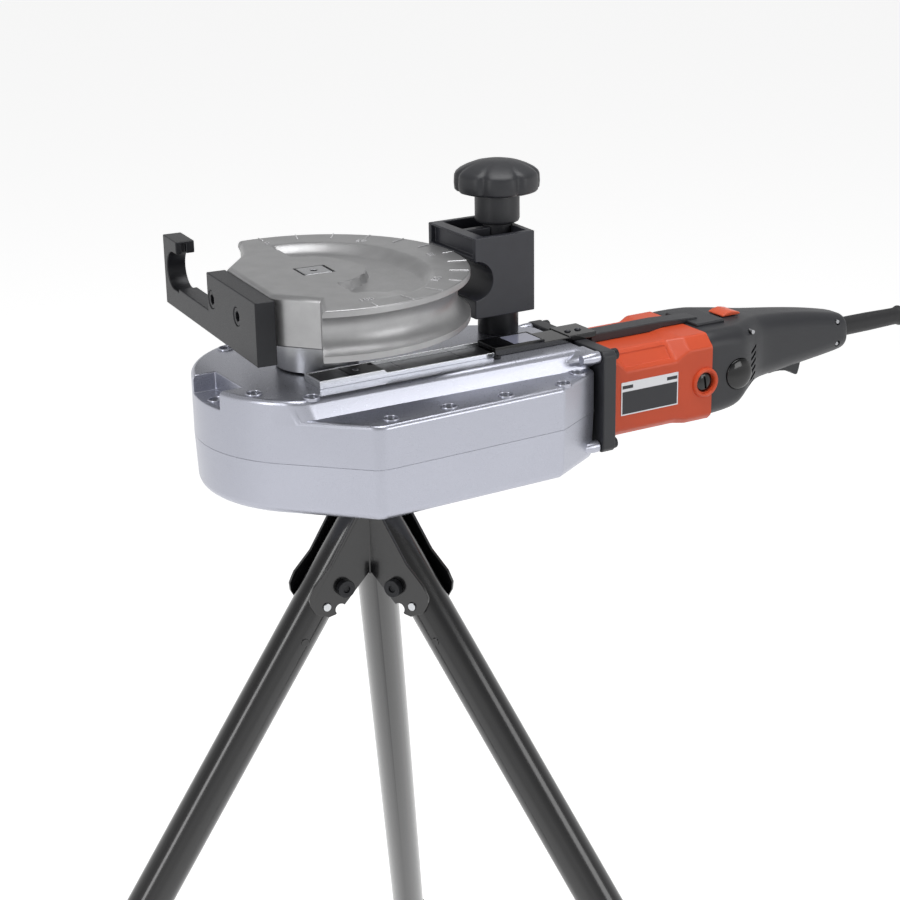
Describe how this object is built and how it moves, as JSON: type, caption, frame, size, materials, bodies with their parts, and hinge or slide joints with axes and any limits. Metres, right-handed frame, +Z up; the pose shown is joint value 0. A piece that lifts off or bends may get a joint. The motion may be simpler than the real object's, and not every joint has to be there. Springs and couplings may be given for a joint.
{
  "type": "powered pipe bender with angle display",
  "caption": "Electric draw bender for round pipe: former with pipe groove and angle dial, worm gear housing, inline motor with handle, angle display, folding tripod",
  "frame": {"origin": "on the spindle's axis at the top face of the bending former and of the drive square", "axes": "+Z up along the spindle, +X from the spindle towards the motor and handle, +Y away from the display side"},
  "size_m": [0.9567, 0.7974, 0.863],
  "materials": {
    "cast_grey": "as-cast aluminium with a fine blasted grain and machined top",
    "housing_silver": "smooth die-cast aluminium with a silver clear coat",
    "black_steel": "black oxide on machined steel",
    "tripod_black": "gloss black powder coat",
    "tool_steel": "ground steel",
    "zinc_steel": "bright zinc plate",
    "bronze": "cast tin bronze",
    "copper": "drawn copper segments",
    "iron": "stacked electrical steel sheets",
    "magnet": "bonded ferrite",
    "black_plastic": "glass-filled nylon, fine texture",
    "block_plastic": "moulded glass-filled nylon",
    "gloss_black": "polished black moulding",
    "orange_plastic": "glass-filled nylon, fine texture",
    "switch_orange": "moulded nylon",
    "dark_rubber": "moulded rubber",
    "gasket_fibre": "pressed fibre sheet",
    "sheet_silver": "satin anodised sheet",
    "lcd": "display window over a grey liquid crystal panel",
    "board_green": "circuit board with solder mask",
    "plate_grey": "printed aluminium foil plate, blank",
    "carbon": "pressed carbon"
  },
  "bodies": {
    "housing": {"upper_housing": "housing_silver", "lower_housing": "housing_silver", "housing_gasket": "gasket_fibre", "housing_screws": "tool_steel", "upper_spindle_bearing": "tool_steel", "lower_spindle_bearing": "tool_steel", "spindle_seal": "dark_rubber", "worm_bearings": "tool_steel", "adapter_flange": "black_plastic", "adapter_bolts": "black_steel", "motor_case": "orange_plastic", "field_core": "iron", "motor_bearings": "tool_steel", "carbon_brushes": "carbon", "brush_caps": "gloss_black", "rating_plate": "plate_grey", "cable_duct": "black_plastic", "handle_near_half": "black_plastic", "handle_far_half": "black_plastic", "handle_screws": "black_steel", "switch_module": "block_plastic", "speed_board": "board_green", "cord_guard": "dark_rubber", "display_tray": "sheet_silver", "sensor_cover": "block_plastic", "angle_sensor": "board_green", "display_housing": "gloss_black", "display_lens": "lcd", "block_post": "black_steel", "tripod_plate": "tripod_black", "leg_brackets": "tripod_black", "pivot_bolts": "black_steel", "detent_pins": "zinc_steel"},
    "former": {"bending_former": "cast_grey", "magnet_ring": "magnet", "hook_bracket": "black_steel", "hook_screws": "zinc_steel", "spindle": "tool_steel", "worm_wheel": "bronze"},
    "worm": {"worm_shaft": "tool_steel", "worm_shaft_gear": "tool_steel"},
    "intermediate": {"intermediate_gear": "tool_steel"},
    "armature": {"armature_shaft": "tool_steel", "armature_core": "iron", "commutator": "copper", "cooling_fan": "black_plastic"},
    "block": {"counter_former": "block_plastic"},
    "knob": {"clamping_knob": "black_plastic"},
    "dial": {"speed_dial": "gloss_black"},
    "direction": {"direction_switch": "switch_orange"},
    "trigger_key": {"trigger": "black_plastic"},
    "zero_key": {"zero_button": "block_plastic"},
    "mode_key": {"mode_button": "block_plastic"},
    "left_leg": {"left_leg_tube": "tripod_black", "left_leg_foot": "dark_rubber"},
    "right_leg": {"right_leg_tube": "tripod_black", "right_leg_foot": "dark_rubber"},
    "rear_leg": {"rear_leg_tube": "tripod_black", "rear_leg_foot": "dark_rubber"}
  },
  "joints": [
    {"name": "former_turn", "type": "hinge", "parent": "housing", "child": "former", "pos_m": [0, 0, -0.1], "axis": [0, 0, 1], "range_deg": [-85.3, 94.7]},
    {"name": "worm_spin", "type": "hinge", "parent": "housing", "child": "worm", "pos_m": [0, -0.077, -0.113], "axis": [1, 0, 0], "range_deg": [-5700, 5700]},
    {"name": "intermediate_spin", "type": "hinge", "parent": "housing", "child": "intermediate", "pos_m": [0.15, -0.05692, -0.12212], "axis": [1, 0, 0], "range_deg": [-20000, 20000]},
    {"name": "armature_spin", "type": "hinge", "parent": "housing", "child": "armature", "pos_m": [0.24, -0.043, -0.1062], "axis": [1, 0, 0], "range_deg": [-79000, 79000]},
    {"name": "block_lift", "type": "slide", "parent": "housing", "child": "block", "axis": [0, 0, 1], "range_m": [0, 0.045]},
    {"name": "knob_turn", "type": "hinge", "parent": "block", "child": "knob", "pos_m": [0.152, 0, 0.04], "axis": [0, 0, 1], "continuous": true},
    {"name": "speed_turn", "type": "hinge", "parent": "housing", "child": "dial", "pos_m": [0.314, -0.086, -0.108], "axis": [0, -1, 0], "range_deg": [-150, 150]},
    {"name": "direction_slide", "type": "slide", "parent": "housing", "child": "direction", "axis": [1, 0, 0], "range_m": [-0.005, 0.005]},
    {"name": "trigger_squeeze", "type": "slide", "parent": "housing", "child": "trigger_key", "axis": [0, 0, 1], "range_m": [0, 0.005], "stiffness_N_per_m": 1500, "springref_m": -0.003},
    {"name": "zero_press", "type": "slide", "parent": "housing", "child": "zero_key", "axis": [0, 0, -1], "range_m": [0, 0.0006], "stiffness_N_per_m": 1500, "springref_m": -0.0005},
    {"name": "mode_press", "type": "slide", "parent": "housing", "child": "mode_key", "axis": [0, 0, -1], "range_m": [0, 0.0006], "stiffness_N_per_m": 1500, "springref_m": -0.0005},
    {"name": "left_leg_fold", "type": "hinge", "parent": "housing", "child": "left_leg", "pos_m": [-0.01529, -0.04213, -0.2168], "axis": [-0.0279, -0.9996, 0], "range_deg": [0, 34]},
    {"name": "right_leg_fold", "type": "hinge", "parent": "housing", "child": "right_leg", "pos_m": [0.03089, -0.07053, -0.2168], "axis": [0.8796, 0.4756, 0], "range_deg": [0, 34]},
    {"name": "rear_leg_fold", "type": "hinge", "parent": "housing", "child": "rear_leg", "pos_m": [0.0324, -0.01634, -0.2168], "axis": [-0.8517, 0.524, 0], "range_deg": [0, 34]}
  ],
  "couplings": [
    {"joint": "worm_spin", "follows": "former_turn", "ratio": -60},
    {"joint": "intermediate_spin", "follows": "former_turn", "ratio": 207.27},
    {"joint": "armature_spin", "follows": "former_turn", "ratio": -829.09}
  ]
}
